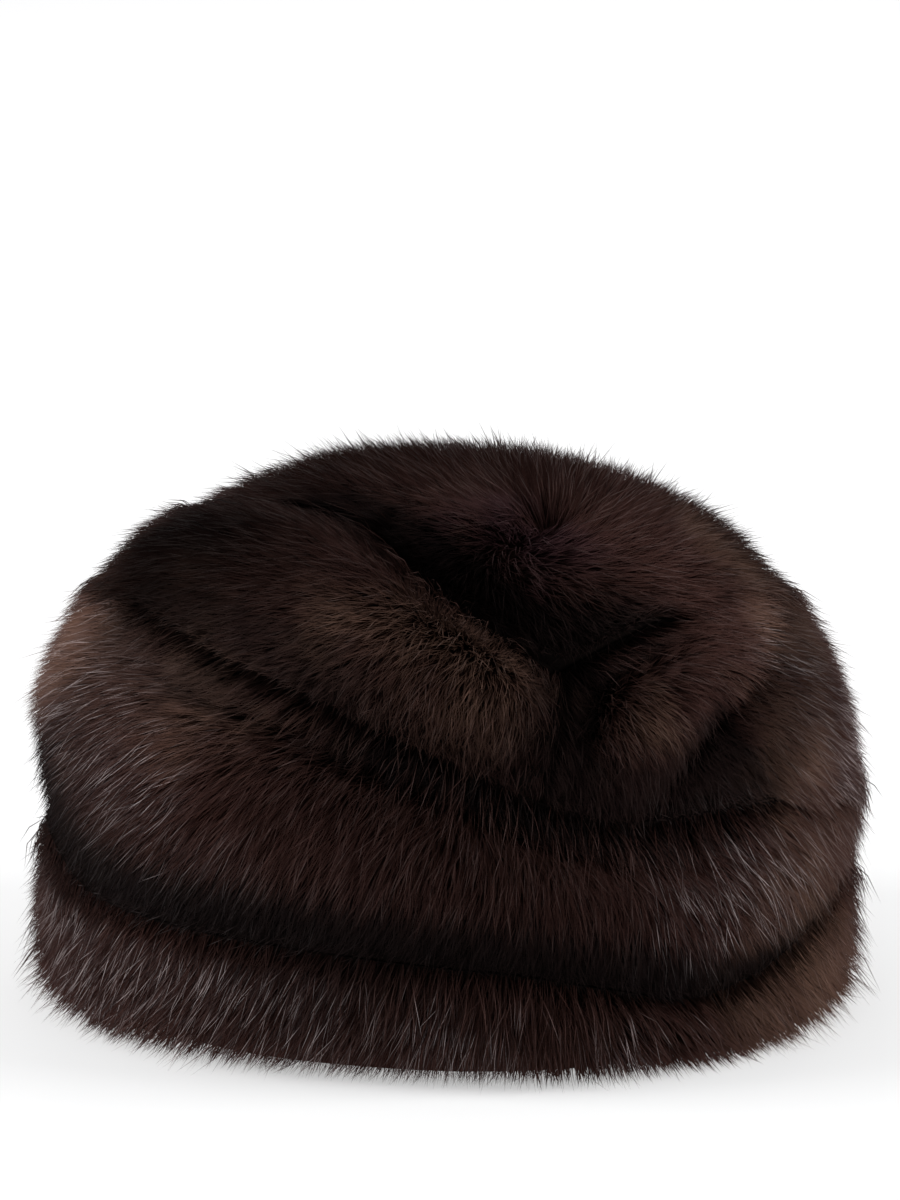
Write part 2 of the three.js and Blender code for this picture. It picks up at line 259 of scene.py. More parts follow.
# %% [markdown]
# ## The coat and the hide
# The solids say where the tips of the fur lie, and that surface is called the coat here. A fur's depth under
# it is the hide, the pelt itself. It is hardly seen, but it stops the light between the hairs, and the hairs
# are planted on it. Both come from a copy of each solid. The copy's locks are eased away, because hairs will
# make them, and the coat is then plumped a little where the fur stands free. Down in a fold the upper side
# is cut deeper and the lip above it is kept full, so the fold stays a narrow dark line.
#
# Two things are left as they are: the bare wall of the cap and the inside. At the foot the hide is tucked in
# under the fur, so that no hard edge of it shows against the ground.

# %% How full the fur of each piece is
FUR_DEPTH = 0.0112
PLUMPNESS = {
    "brim_band": 0.0030,
    "wrap_band": 0.0022,
    "left_drape": 0.0055,
    "centre_pleat": 0.0040,
    "right_drape": 0.0028,
    "crown": 0.0055,
}
EASING = 3
BARE_WALL = 0.003
CREASE = (0.003, 0.011)
CREASE_FOOT = (0.006, 0.018)
CREASE_DEEPENING = 0.0070
LIP_LEAN = 0.5
LIP_FULLNESS = 0.0025
# How strongly the hide is painted darker down in the folds, as painted shade.
HIDE_PAINTED_SHADING = 3
FOOT_HEIGHT = 0.003
FOOT_TUCK = 0.012
FOOT_RISE = 0.0006
plumpest = max(PLUMPNESS, key=PLUMPNESS.get)
print("the fur is", FUR_DEPTH * 1000, "mm deep, and the plumpest piece is the", plumpest)

# %% [markdown]
# A fold isn't sharp all the way round. On the right, at the far left and at the left end of the crown, two
# folds run into one another and the fur closes over them. These places are a few soft balls, each with its
# middle, its reach and how much of the fold it takes away. Near its middle, in its core, a ball works in
# full.

# %% Where the folds grow faint
FAINT_CORE = 0.6
FAINT = [
    ((0.112, -0.008, 0.124), 0.048, 1.0),
    ((0.090, -0.044, 0.128), 0.030, 1.0),
    ((0.130, -0.010, 0.078), 0.048, 1.0),
    ((0.114, -0.052, 0.077), 0.024, 0.8),
    ((0.092, -0.060, 0.115), 0.026, 0.6),
    ((-0.122, 0.006, 0.114), 0.044, 0.9),
    ((-0.074, 0.012, 0.151), 0.042, 0.7),
]


def strength_of(points):
    """1 where the folds stay as deep as they are, and less where two folds run into one another."""
    share = np.ones(len(points))
    for middle, reach, amount in FAINT:
        near = ramp(1 - np.linalg.norm(points - middle, axis=1) / reach, 0, FAINT_CORE)
        share *= 1 - amount * soften(near)
    return share


print("faint places:", len(FAINT))

# %% Copy one solid and ease its locks away


def eased_copy(node):
    """A merged copy of a solid, with two marks for each point: furred, and furred but not at the rim."""
    only(frame["nodes"][node])
    bpy.ops.object.duplicate()
    hide = bpy.context.object
    for key in list(hide.keys()):
        del hide[key]
    hide.parent = None
    hide.name = hide.data.name = node + "_hide"
    bpy.ops.object.mode_set(mode="EDIT")
    bpy.ops.mesh.select_all(action="SELECT")
    bpy.ops.mesh.remove_doubles(threshold=1e-5)
    bpy.ops.mesh.select_all(action="DESELECT")
    bpy.ops.object.mode_set(mode="OBJECT")

    mesh = hide.data
    furred = height_over(CAP_DOME, rows_of(mesh, "co")) > BARE_WALL
    mesh.vertices.foreach_set("select", furred)
    bpy.ops.object.mode_set(mode="EDIT")
    bpy.ops.mesh.select_mode(type="VERT")
    bpy.ops.mesh.select_less()
    bpy.ops.mesh.vertices_smooth(factor=0.5, repeat=EASING)
    bpy.ops.object.mode_set(mode="OBJECT")
    inner = np.zeros(len(mesh.vertices), bool)
    mesh.vertices.foreach_get("select", inner)
    return hide, furred, inner


# %% Make one coat and one hide
coats = {}
coat_parts = []


def make_hide(node):
    """Plumps an eased copy of a solid for the coat, and draws it in for the hide."""
    hide, furred, inner = eased_copy(node)
    mesh = hide.data
    points, normals = rows_of(mesh, "co"), rows_of(mesh, "normal")
    in_crease = ramp(-height_over(FUR_DOME, points), *CREASE)
    in_crease *= ramp(points[:, 2], *CREASE_FOOT) * strength_of(points)
    lip = ramp((fall_of(points) * normals).sum(axis=1), 0, LIP_LEAN)
    deeper = CREASE_DEEPENING * in_crease * (1 - lip) * inner
    points -= straight_out(FUR_DOME, points) * deeper[:, None]

    growth = PLUMPNESS[node] * (1 - in_crease) + LIP_FULLNESS * in_crease * lip
    plump = points + normals * (growth * inner)[:, None]
    coat_parts.append(plump[height_over(CAP_DOME, plump) > 2 * BARE_WALL])
    corners = [tuple(face.vertices) for face in mesh.polygons]
    coats[node] = BVHTree.FromPolygons(plump.tolist(), corners)

    room = np.clip(height_over(CAP_DOME, points) - BARE_WALL, 0, FUR_DEPTH - PLUMPNESS[node])
    drawn = points - normals * (room * inner)[:, None]
    foot = furred & (points[:, 2] < FOOT_HEIGHT)
    drawn[foot] = (points - level_out(points) * FOOT_TUCK)[foot]
    if foot.any():
        drawn[:, 2] = np.maximum(drawn[:, 2], FOOT_RISE)
    drawn[:, 2] = np.maximum(drawn[:, 2], points[:, 2].min())
    mesh.vertices.foreach_set("co", drawn.astype(np.float32).ravel())
    mesh.update()
    only(hide)
    bpy.ops.object.shade_smooth()
    # Painted shade: the hide is marked to be painted darker down in the folds.
    keep_numbers(mesh, "darkness", np.clip(in_crease * HIDE_PAINTED_SHADING, 0, 1))
    print(node, len(mesh.polygons), "faces, furred points:", int(inner.sum()))
    return hide


hides = {node: make_hide(node) for node in sorted(frame["nodes"])}

# %% [markdown]
# The folds part the fur, and the fur is painted darker towards them from a good way off, as painted
# shade. So each point of the coat gets two numbers that say how deep the coat lies round it, under the fur
# dome: one is the average over a fingertip, and the other over a thumb's width.

# %% How deep the coat lies
FINGERTIP = 0.009
THUMB = 0.018
DEEPEST = 0.016
NEAREST = 0.001
coat_points = np.concatenate(coat_parts)
coat_depth = np.clip(-height_over(FUR_DOME, coat_points), 0, DEEPEST) * strength_of(coat_points)
coat_tree = KDTree(len(coat_points))
for index, point in enumerate(coat_points):
    coat_tree.insert(point, index)
coat_tree.balance()


def mean_depth(reach):
    """The depth round each point of the coat, the nearest counting most."""
    depth = np.zeros(len(coat_points))
    for index, point in enumerate(coat_points):
        near = coat_tree.find_range(point, reach)
        share = 1 - np.array([hit[2] for hit in near]) / reach
        depth[index] = (coat_depth[[hit[1] for hit in near]] * share).sum() / share.sum()
    return depth


NARROW = mean_depth(FINGERTIP)
WIDE = mean_depth(THUMB)
for name, depth in (("narrow", NARROW), ("wide", WIDE)):
    print(name, "depth of the coat, mm:", np.percentile(depth * 1000, [25, 50, 75, 99]).round(1))


def depth_near(spots):
    """The narrow and the wide depth at each spot, from the three coat points nearest to it."""
    depth = np.zeros((2, len(spots)))
    for index, spot in enumerate(spots.tolist()):
        near = coat_tree.find_n(spot, 3)
        share = np.array([1 / (hit[2] + NEAREST) for hit in near])
        hits = [hit[1] for hit in near]
        depth[:, index] = (NARROW[hits] @ share / share.sum(), WIDE[hits] @ share / share.sum())
    return depth


# %% [markdown]
# The hide is dark, woolly and dull on the fur side. Inside the cap is the skin side, a plain brushed brown.
# Each is a finish of its own. The crown's faces that lie within the cap dome get the skin side, and all
# the others get the fur side. Both are a slow noise for the cloudiness of a skin and a fine one for its
# nap, and the fine one also roughens the surface as a bump. Down in the folds the fur side is also painted
# darker, as painted shade.

# %% Finishes of the hide
WOOL_SHARE = 0.6
HIDE_DARK = (0.009, 0.0042, 0.0032, 1)
HIDE_BROWN = (0.016, 0.0076, 0.0060, 1)
# The colour of the painted shade in the hide's folds.
HIDE_PAINTED_FOLD_SHADE = (0.0030, 0.0022, 0.0020, 1)
NAP_SHARE = 0.35
SKIN_DARK = (0.040, 0.027, 0.020, 1)
SKIN_PALE = (0.085, 0.060, 0.045, 1)


def hide_finish():
    material, shader, dye = finish_named("dark_hide")
    place = dye.node("ShaderNodeTexCoord", out=3)
    wool = dye.node("ShaderNodeTexNoise", sockets={"Vector": place, "Scale": 900.0, "Detail": 3.0})
    cloud = dye.node("ShaderNodeTexNoise", sockets={"Vector": place, "Scale": 40.0, "Detail": 2.0})
    share = wool * WOOL_SHARE + cloud * (1 - WOOL_SHARE)
    colour = share.step(0.3, 0.7).blend(HIDE_DARK, HIDE_BROWN)
    # Painted shade: the hide turns towards the fold colour down in the folds.
    darkness = dye.node("ShaderNodeAttribute", {"attribute_name": "darkness"}, out=2)
    colour = darkness.blend(colour, HIDE_PAINTED_FOLD_SHADE)
    feed(colour, shader, "Base Color")
    shader.inputs["Roughness"].default_value = 1.0
    shader.inputs["Specular IOR Level"].default_value = 0.0
    bump = dye.node("ShaderNodeBump", sockets={"Height": wool, "Strength": 0.6, "Distance": 0.0008})
    feed(bump, shader, "Normal")
    return material


def inside_finish():
    material, shader, dye = finish_named("skin_side")
    place = dye.node("ShaderNodeTexCoord", out=3)
    nap = dye.node("ShaderNodeTexNoise", sockets={"Vector": place, "Scale": 1400.0, "Detail": 2.0})
    cloud = dye.node("ShaderNodeTexNoise", sockets={"Vector": place, "Scale": 28.0, "Detail": 3.0})
    share = nap * NAP_SHARE + cloud * (1 - NAP_SHARE)
    colour = share.step(0.3, 0.7).blend(SKIN_DARK, SKIN_PALE)
    feed(colour, shader, "Base Color")
    shader.inputs["Roughness"].default_value = 0.9
    shader.inputs["Specular IOR Level"].default_value = 0.2
    bump = dye.node("ShaderNodeBump", sockets={"Height": nap, "Strength": 0.35, "Distance": 0.0004})
    feed(bump, shader, "Normal")
    return material


HIDE = hide_finish()
INSIDE = inside_finish()
print("finishes:", HIDE.name, INSIDE.name)

# %% Dress the hides
WITHIN_CAP = -0.0022
for node, hide in hides.items():
    hide.data.materials.clear()
    hide.data.materials.append(HIDE)
    if node == "crown":
        hide.data.materials.append(INSIDE)
        centres = np.array([face.center for face in hide.data.polygons])
        inside = height_over(CAP_DOME, centres) < WITHIN_CAP
        hide.data.polygons.foreach_set("material_index", inside.astype(np.int32))
        print("inside faces:", int(inside.sum()))
    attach(hide, "root")
    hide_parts(node)

# %% [markdown]
# ## One guard hair and one underfur hair
# A hair is far too thin to need a round section: three sides are enough. It starts as a three-sided cone
# that stands on its closed base, and the base is lost in the hide. That is the whole of an underfur hair.
# A guard hair is cut once across, so that it can bend, and is a little fuller at the cut. Both are one unit
# long, and they get their real length when they are planted.

# %% Model the two hairs


def model_hair(name, cut, root_width):
    """A hair from 0 to 1 along Z, one unit wide at its widest."""
    bpy.ops.object.select_all(action="DESELECT")
    bpy.ops.mesh.primitive_cone_add(
        vertices=3, radius1=0.5, radius2=0, depth=1, end_fill_type="NGON", location=(0, 0, 0.5)
    )
    hair = bpy.context.object
    hair.name = name
    bpy.ops.object.transform_apply(location=True, rotation=True, scale=True)
    bpy.ops.object.mode_set(mode="EDIT")
    bpy.ops.mesh.select_all(action="SELECT")
    if cut:
        bpy.ops.mesh.bisect(plane_co=(0, 0, cut), plane_no=(0, 0, 1))
        bpy.ops.transform.resize(value=(1 / (1 - cut), 1 / (1 - cut), 1))
    bpy.ops.mesh.select_all(action="SELECT")
    bpy.ops.mesh.quads_convert_to_tris()
    bpy.ops.mesh.normals_make_consistent(inside=False)
    bpy.ops.object.mode_set(mode="OBJECT")
    faces = np.array([list(face.vertices) for face in hair.data.polygons])
    shape = rows_of(hair.data, "co")
    at_root = shape[:, 2] < 0.01
    shape[at_root, :2] *= root_width
    bpy.data.objects.remove(hair)
    print(name, len(faces), "faces, points at", sorted(set(shape[:, 2].round(2).tolist())))
    return shape, faces


GUARD_HAIR = model_hair("one_guard_hair", cut=0.5, root_width=0.6)
UNDERFUR_HAIR = model_hair("one_underfur_hair", cut=None, root_width=1.0)

# %% [markdown]
# ## Planting
# Blender can grow hair by itself, but that hair is made of curves, which a library part can't keep. So the
# hairs are planted here as copies of the two models, and each piece gets two meshes, one of underfur and
# one of guard hairs.
#
# A hair needs a place on the hide, a way to lie and a length. Places are drawn at random over the furred
# faces, as many on each as its area asks for and more along the foot, always from the same seed. The lie is
# the same everywhere: away from the whorl and down.

# %% Draw places on a hide
FURRED_HIDE = 0.0025
DEEP_FOLD = (0.01575, 0.0495)
THINNED_BY = 0.75
FRINGE = 1.6
FRINGE_HEIGHT = 0.006
STOOD_ON = dict(facing=-0.6, below=0.012)


def hair_weight(points, corners):
    """How many hairs each triangle asks for: by its area, fewer deep in a fold, more at the foot."""
    a, b, c = (points[corners[:, k]] for k in range(3))
    across = np.cross(b - a, c - a)
    area = np.linalg.norm(across, axis=1)
    facing = across / np.maximum(area, 1e-12)[:, None]
    middle = (a + b + c) / 3
    weight = area * (1 - THINNED_BY * ramp(-height_over(FUR_DOME, middle), *DEEP_FOLD))
    weight *= 1 + FRINGE * np.exp(-middle[:, 2] / FRINGE_HEIGHT)
    weight[(facing[:, 2] < STOOD_ON["facing"]) & (middle[:, 2] < STOOD_ON["below"])] = 0
    return weight


def draw_places(hide, count, dice):
    """Random places on the furred faces, with the outward way of the hide at each."""
    mesh = hide.data
    mesh.calc_loop_triangles()
    corners = np.zeros(len(mesh.loop_triangles) * 3, np.int32)
    mesh.loop_triangles.foreach_get("vertices", corners)
    corners = corners.reshape(-1, 3)
    points, normals = rows_of(mesh, "co"), rows_of(mesh, "normal")
    furred = height_over(CAP_DOME, points) > FURRED_HIDE
    corners = corners[furred[corners].all(axis=1)]
    weight = hair_weight(points, corners)

    pick = corners[dice.choice(len(corners), count, p=weight / weight.sum())]
    u, v = dice.random(count), dice.random(count)
    over = u + v > 1
    u[over], v[over] = 1 - u[over], 1 - v[over]
    shares = np.stack([1 - u - v, u, v], axis=1)[:, :, None]
    return (points[pick] * shares).sum(axis=1), unit((normals[pick] * shares).sum(axis=1))


# %% The lie of the fur
WAVES = 5
WAVE_TURN = 6.28
WAVE_HEIGHT = 1 / 2.6
SWINGS = ((0.16, 0.070, 5), (0.09, 0.024, 6))
WHORL_SPIN = 1.1
WHORL_REACH = 0.022
HOLD_OUTWARD = 0.55
HOLD_INWARD = 0.85


def waves(points, pitch, salt):
    """A slow wander between about -1 and 1 over the hat, for hairs that part a little from their lie."""
    turn = np.random.default_rng(salt)
    ways = unit(turn.normal(size=(WAVES, 3)))
    shifts = turn.random(WAVES) * WAVE_TURN
    return np.sin(points @ ways.T * WAVE_TURN / pitch + shifts).sum(axis=1) * WAVE_HEIGHT


def lie_of(spot, out):
    """The way the fur lies along the hide at each place, and how far the hide leans that way."""
    along = fall_of(spot)
    side = np.cross(straight_out(FUR_DOME, spot), along)
    swing = sum(amount * waves(spot, pitch, salt) for amount, pitch, salt in SWINGS)
    swing += WHORL_SPIN * np.exp(-np.linalg.norm(spot - WHORL, axis=1) / WHORL_REACH)
    along = along * np.cos(swing)[:, None] + side * np.sin(swing)[:, None]
    lean = (along * out).sum(axis=1)
    hold = np.where(lean > 0, HOLD_OUTWARD, HOLD_INWARD)
    return unit(along - (hold * lean)[:, None] * out), lean


# %% [markdown]
# Broad soft areas of the fur are painted darker, as painted shade. Each ball below is on one piece: where
# it is, how far it reaches and how light the fur is painted there. Under 1 the fur is darker. Over 1 it
# keeps its colour and takes less of a fold's painted shade.
#
# The painted shade of a fold has two parts. The lip that hangs over a fold is painted dark only near its
# edge, and the fur below the fold is painted dark over a wider strip, by an amount that differs from piece
# to piece.

# %% The painted shade of the folds and of broad areas
LIP_FOLD = (0.0030, 0.0095)
LIP_SHADE = 0.6
TOP_FOLD = (0.0016, 0.0070)
SHADE_FOOT = (0.004, 0.012)
# Painted shade in broad soft areas: piece, middle, reach and how light the fur is painted.
PAINTED_SHADE_BALLS = [
    ("crown", (-0.040, -0.006, 0.164), 0.085, 0.14),
    ("crown", (-0.005, -0.062, 0.150), 0.045, 0.55),
    ("crown", (0.034, -0.083, 0.126), 0.035, 0.75),
    ("crown", (0.010, 0.010, 0.168), 0.060, 0.70),
    ("crown", (0.084, 0.000, 0.142), 0.060, 0.28),
    ("left_drape", (-0.080, -0.010, 0.150), 0.080, 0.04),
    ("left_drape", (-0.060, -0.036, 0.154), 0.058, 0.12),
    ("left_drape", (-0.040, -0.068, 0.148), 0.045, 0.45),
    ("left_drape", (0.004, -0.102, 0.126), 0.040, 2.20),
    ("left_drape", (0.037, -0.102, 0.104), 0.020, 0.35),
    ("right_drape", (0.106, -0.026, 0.122), 0.050, 0.24),
    ("right_drape", (0.088, -0.062, 0.114), 0.040, 0.32),
    ("wrap_band", (-0.094, -0.058, 0.116), 0.050, 1.60),
    ("wrap_band", (-0.050, -0.100, 0.112), 0.042, 1.75),
    ("wrap_band", (-0.092, -0.092, 0.082), 0.036, 0.75),
    ("wrap_band", (-0.060, -0.114, 0.078), 0.050, 0.90),
    ("brim_band", (-0.086, -0.090, 0.040), 0.055, 1.75),
    ("brim_band", (0.112, -0.050, 0.030), 0.044, 1.50),
]
UPPER_SHADE = {
    "brim_band": 0.50,
    "wrap_band": 0.90,
    "left_drape": 0.55,
    "centre_pleat": 0.70,
    "right_drape": 0.70,
    "crown": 0.88,
}


def painted_shade_of(node, spots):
    """How light the fur is painted at each place, as painted shade, and the share of a fold's painted shade it
    keeps where it is over 1.
    """
    share = np.ones(len(spots))
    for piece, middle, reach, tone in PAINTED_SHADE_BALLS:
        if piece == node:
            near = np.clip(1 - np.linalg.norm(spots - middle, axis=1) / reach, 0, 1)
            share *= 1 - (1 - tone) * soften(near)
    return share, np.clip(2 - share, 0, 1)


def fold_shade(node, landed, lip):
    """How far each tip lies in the shade of a fold, from 0 to 1. lip is 1 for hairs that hang over one."""
    narrow, wide = depth_near(landed)
    over_fold = ramp(narrow, *LIP_FOLD) * LIP_SHADE * lip
    under_fold = ramp(wide, *TOP_FOLD) * (1 - lip) * UPPER_SHADE[node]
    return soften(over_fold + under_fold) * ramp(landed[:, 2], *SHADE_FOOT)


print("tones:", len(PAINTED_SHADE_BALLS))

# %% [markdown]
# Now the planting itself. Each hair leaves the hide at a slant, and its tip is combed to the nearest place on
# the coat, so the outline is the solid's own. Some tips stand a little prouder than the rest, and those
# near the ground spread outwards over it. The two kinds of hair differ only in the numbers of one table:
#
# - shorter is a kind's length as a share of the piece's fur, and width is the hair's thickest part;
# - lift is the slant at the root in degrees;
# - proud is how far the tips stand over the coat, and how much further a few strays go;
# - foot is how low the tips come, how uneven they are, how far they spread and how much thicker they grow;
# - clump is how many hairs share a point, and how strongly they are drawn to it;
# - loosest is how far a tip may stay off the coat where it hangs over a fold.

# %% The two kinds of hair
UNDERFUR = dict(
    hair=UNDERFUR_HAIR,
    shorter=0.82,
    width=0.00043,
    lift=dict(middle=36, spread=8),
    proud=dict(least=-0.0012, spread=0.0010, stray=0.001),
    foot=dict(lowest=0.0004, uneven=0.0026, flare=0.009, thicker=1.8),
    clump=dict(hairs=8, pull=0.0, spread=0.10),
    loosest=0.40,
)
GUARD_FUR = dict(
    hair=GUARD_HAIR,
    shorter=1.0,
    width=0.00025,
    lift=dict(middle=26, spread=7),
    proud=dict(least=0.0002, spread=0.0016, stray=0.005),
    foot=dict(lowest=0.0003, uneven=0.0020, flare=0.015, thicker=0.0),
    clump=dict(hairs=5, pull=0.08, spread=0.14),
    loosest=0.75,
)
print("an underfur hair is", round(UNDERFUR["width"] / GUARD_FUR["width"], 2), "times as thick as a guard hair")

# %% Lay the hairs down
SWAY = 0.20
LENGTH_SPREAD = 0.18
LENGTH_LIMITS = (0.5, 1.5)
LENGTH_WAVE = (0.08, 0.045, 7)
LOWERED_BY = 0.6


def lay_down(kind, length, spot, out, dice):
    """Where the tip of each hair would reach if it met nothing, and how far it hangs over a fold."""
    count = len(spot)
    sway = dice.normal(0, SWAY, count)
    along, lean = lie_of(spot, out)
    side = unit(np.cross(out, along))
    lie = along * np.cos(sway)[:, None] + side * np.sin(sway)[:, None]
    amount, pitch, salt = LENGTH_WAVE
    long = length * np.clip(dice.normal(1, LENGTH_SPREAD, count), *LENGTH_LIMITS)
    long *= 1 + amount * waves(spot, pitch, salt)
    lift = kind["lift"]
    raised = np.radians(dice.normal(lift["middle"], lift["spread"], count))
    raised *= 1 - LOWERED_BY * np.clip(lean, 0, 1)
    slant = lie * np.cos(raised)[:, None] + out * np.sin(raised)[:, None]
    return spot + slant * long[:, None], ramp(lean, 0, LIP_LEAN)


# %% Comb the tips to the coat
UNDER_DOME = 0.0015
LOOSE = 0.15
STRAYS = 0.06
FOLD_SINK = 0.0010
FOOT_BAND = 0.02
FLARE_HEIGHT = 0.022
STANDING_HEIGHT = 0.008


def comb(node, kind, reach, lip, dice):
    """Moves each tip to the coat and lets it stand proud, spread at the foot and sink into a fold."""
    count = len(reach)
    found = [coats[node].find_nearest(point) for point in reach.tolist()]
    landed = np.array([hit[0] for hit in found])
    outward = np.array([hit[1] for hit in found])
    in_fold = fold_shade(node, landed, lip)

    # Where a fold is faint, the fur closes over it and lies just under the fur dome.
    faint = (1 - strength_of(reach))[:, None]
    dome_out = straight_out(FUR_DOME, reach)
    closed = reach - dome_out * (height_over(FUR_DOME, reach) + UNDER_DOME)[:, None]
    landed = landed * (1 - faint) + closed * faint
    outward = unit(outward * (1 - faint) + dome_out * faint)
    loose = (dice.uniform(0, 1, count) * (LOOSE + (kind["loosest"] - LOOSE) * lip))[:, None]
    landed = landed * (1 - loose) + reach * loose

    proud, foot = kind["proud"], kind["foot"]
    stands = proud["least"] + proud["spread"] * np.abs(dice.normal(0, 1, count))
    stands += proud["stray"] * (dice.random(count) < STRAYS) * dice.random(count)
    at_foot = (height_over(CAP_DOME, landed) > FOOT_BAND) * 1.0
    near_ground = np.clip(1 - landed[:, 2] / FLARE_HEIGHT, 0, 1) * at_foot
    flare = near_ground * foot["flare"] * dice.random(count) ** 2
    tip = landed + outward * stands[:, None] + level_out(reach) * flare[:, None]
    tip -= outward * (in_fold * FOLD_SINK)[:, None]
    standing = at_foot * np.clip(1 - landed[:, 2] / STANDING_HEIGHT, 0, 1)
    return tip, in_fold, standing


# %% [markdown]
# Then the tips draw together in little points, which is what makes fur look like fur, and each hair is bowed
# like a blade of grass. Every hair also carries four numbers for its finish: how far up the hair a point
# is, the hair's own shade, its painted shade from a fold, and the painted shade of its broad area.

# %% Gather the tips
STRONGEST_PULL = 0.9


def gather(tip, clump, dice):
    """Draws hairs near one another towards one leader."""
    count = len(tip)
    leaders = dice.choice(count, max(count // clump["hairs"], 1), replace=False)
    tree = KDTree(len(leaders))
    for index, leader in enumerate(leaders):
        tree.insert(tip[leader], index)
    tree.balance()
    leader = np.array([leaders[tree.find(point)[1]] for point in tip])
    pull = np.clip(dice.normal(clump["pull"], clump["spread"], count), 0, STRONGEST_PULL)
    return tip + (tip[leader] - tip) * pull[:, None]


# %% Grow the hairs
BOW_AT = 0.45
BOW = (0.20, 0.05)
WIDTH_SPREAD = 0.2
WIDTH_LIMITS = (0.5, 1.6)


def grow(kind, spot, out, tip, standing, dice):
    """The points of every hair, on a bow from its place on the hide to its tip."""
    shape = kind["hair"][0]
    count = len(spot)
    span = np.linalg.norm(tip - spot, axis=1)
    bow = spot * (1 - BOW_AT) + tip * BOW_AT + out * (span * dice.normal(*BOW, count))[:, None]
    broad = kind["width"] * np.clip(dice.normal(1, WIDTH_SPREAD, count), *WIDTH_LIMITS)
    broad *= 1 + kind["foot"]["thicker"] * standing

    turn = dice.uniform(0, 2 * math.pi, count)
    axis = unit(tip - spot)
    flat = unit(np.cross(axis, out) + 1e-6)
    deep = np.cross(axis, flat)
    x_way = flat * np.cos(turn)[:, None] + deep * np.sin(turn)[:, None]
    y_way = np.cross(axis, x_way)

    grown = np.zeros((count, len(shape), 3))
    for index, (x, y, t) in enumerate(shape):
        centre = spot * (1 - t) ** 2 + bow * 2 * t * (1 - t) + tip * t**2
        grown[:, index] = centre + (x_way * x + y_way * y) * broad[:, None]
    foot = kind["foot"]
    own_floor = foot["lowest"] + foot["uneven"] * dice.random((count, 1)) ** 2
    grown[:, :, 2] = np.maximum(grown[:, :, 2], own_floor)
    return grown


def join_hairs(name, grown, faces):
    """One piece of all the hairs."""
    count, size = grown.shape[:2]
    all_faces = (faces[None] + np.arange(count)[:, None, None] * size).reshape(-1, 3)
    mesh = bpy.data.meshes.new(name)
    mesh.vertices.add(count * size)
    mesh.vertices.foreach_set("co", grown.astype(np.float32).ravel())
    mesh.loops.add(all_faces.size)
    mesh.loops.foreach_set("vertex_index", all_faces.astype(np.int32).ravel())
    mesh.polygons.add(len(all_faces))
    mesh.polygons.foreach_set("loop_start", np.arange(0, all_faces.size, 3, dtype=np.int32))
    mesh.polygons.foreach_set("use_smooth", np.ones(len(all_faces), bool))
    mesh.update(calc_edges=True)
    piece = bpy.data.objects.new(name, mesh)
    bpy.context.scene.collection.objects.link(piece)
    return piece


# %% Plant one kind of hair on one hide
SHADE_SPREAD = 0.2
HIDE_SHARE = 0.5


def plant(name, node, kind, count, length, seed):
    """Plants one kind of hair over a hide, all in one mesh, and gives each hair its numbers."""
    dice = np.random.default_rng(seed)
    shape, faces = kind["hair"]
    size = len(shape)
    spot, out = draw_places(hides[node], count, dice)
    out = unit(out * HIDE_SHARE + straight_out(FUR_DOME, spot) * (1 - HIDE_SHARE))
    reach, lip = lay_down(kind, length * kind["shorter"], spot, out, dice)
    tip, in_fold, standing = comb(node, kind, reach, lip, dice)
    tip = gather(tip, kind["clump"], dice)
    piece = join_hairs(name, grow(kind, spot, out, tip, standing, dice), faces)

    shade = np.clip(dice.normal(0.5, SHADE_SPREAD, count), 0, 1)
    tone, ease = painted_shade_of(node, spot)
    keep_numbers(piece.data, "up_the_hair", np.tile(shape[:, 2], count))
    keep_numbers(piece.data, "own_shade", np.repeat(shade, size))
    # The painted shade of the folds and of broad areas, for the finish.
    keep_numbers(piece.data, "darkness", np.repeat(in_fold * ease, size))
    keep_numbers(piece.data, "tone", np.repeat(np.clip(tone, 0, 1), size))
    print(name, count, "hairs,", len(piece.data.polygons), "triangles")
    return piece


# %% [markdown]
# ## Finish of the hairs
# Each hair is dark at its root and lighter towards its tip, and no two are quite the same. Over the hat
# the fur changes too: silvery tips, partly the hairs' own and partly painted sheen, on the left side and low
# on the right; warmer golden brown, partly where a fold opens the fur and partly painted highlight; and a dim
# violet brown at the whorl. The patches are soft balls around a few places, and a slow noise shifts their
# edges, so that from no side do they look round. Real fur has hardly any gloss of its own from the front,
# so the shine is kept low and the colour does the work. The folds and some broad areas are painted darker,
# as painted shade.

# %% Patches of colour, partly painted highlight and painted sheen
# Golden brown: partly the fur's own warmer colour where a fold opens it, and partly painted highlight.
GOLD_AND_HIGHLIGHT = [
    ((-0.114, -0.010, 0.116), 0.026),
    ((-0.104, -0.045, 0.118), 0.032),
    ((-0.080, -0.078, 0.116), 0.028),
    ((-0.060, -0.100, 0.108), 0.018),
    ((0.022, -0.110, 0.119), 0.022),
    ((0.004, -0.106, 0.126), 0.032),
    ((-0.026, -0.098, 0.131), 0.028),
    ((0.032, -0.102, 0.112), 0.014),
    ((0.058, -0.100, 0.108), 0.018),
    ((0.112, -0.028, 0.120), 0.030),
    ((0.108, -0.060, 0.088), 0.026),
    ((0.091, -0.010, 0.138), 0.028),
    ((0.110, -0.056, 0.030), 0.042),
    ((0.066, 0.084, 0.110), 0.040),
    ((-0.060, 0.100, 0.070), 0.040),
]
